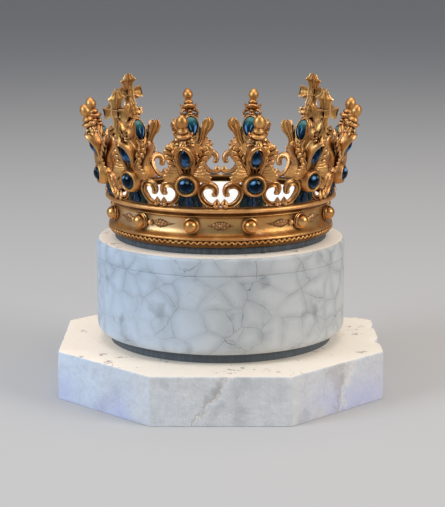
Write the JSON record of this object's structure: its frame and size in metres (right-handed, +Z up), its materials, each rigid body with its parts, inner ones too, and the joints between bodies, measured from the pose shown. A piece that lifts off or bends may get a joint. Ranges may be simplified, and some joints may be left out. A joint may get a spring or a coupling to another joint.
{
  "type": "medieval crown with marble display stand",
  "caption": "Gilt open crown with leafy fleurons ending in balls and crosses, set with round and drop-shaped blue stones, on a round marble drum over an octagonal plinth.",
  "frame": {"origin": "middle of the plinth's underside, where the stand meets the surface it stands on", "axes": "+Z up along the crown's axis, -Y to the front with a flat side of the plinth, +X to the viewer's right"},
  "size_m": [0.28, 0.28, 0.2684],
  "materials": {
    "gilt": "aged gilding, satin, dark in the recesses",
    "sapphire": "polished dark blue stone",
    "lining": "plain white strip",
    "marble": "honed white marble with fine grey veins",
    "slate": "matt dark grey"
  },
  "bodies": {
    "root": {"plinth": "marble", "foot_disc": "slate", "drum": "marble", "seat_disc": "slate", "circlet": "gilt", "lining": "lining", "ball_fleuron_01": "gilt", "cabochon_01": "sapphire", "drop_stone_01": "sapphire", "stud_01": "gilt", "cross_fleuron_02": "gilt", "cabochon_02": "sapphire", "drop_stone_02": "sapphire", "stud_02": "gilt", "ball_fleuron_03": "gilt", "cabochon_03": "sapphire", "drop_stone_03": "sapphire", "stud_03": "gilt", "ball_fleuron_04": "gilt", "cabochon_04": "sapphire", "drop_stone_04": "sapphire", "stud_04": "gilt", "cross_fleuron_05": "gilt", "cabochon_05": "sapphire", "drop_stone_05": "sapphire", "stud_05": "gilt", "ball_fleuron_06": "gilt", "cabochon_06": "sapphire", "drop_stone_06": "sapphire", "stud_06": "gilt", "ball_fleuron_07": "gilt", "cabochon_07": "sapphire", "drop_stone_07": "sapphire", "stud_07": "gilt", "cross_fleuron_08": "gilt", "cabochon_08": "sapphire", "drop_stone_08": "sapphire", "stud_08": "gilt", "ball_fleuron_09": "gilt", "cabochon_09": "sapphire", "drop_stone_09": "sapphire", "stud_09": "gilt", "ball_fleuron_10": "gilt", "cabochon_10": "sapphire", "drop_stone_10": "sapphire", "stud_10": "gilt", "cross_fleuron_11": "gilt", "cabochon_11": "sapphire", "drop_stone_11": "sapphire", "stud_11": "gilt", "ball_fleuron_12": "gilt", "cabochon_12": "sapphire", "drop_stone_12": "sapphire", "stud_12": "gilt"}
  },
  "joints": []
}
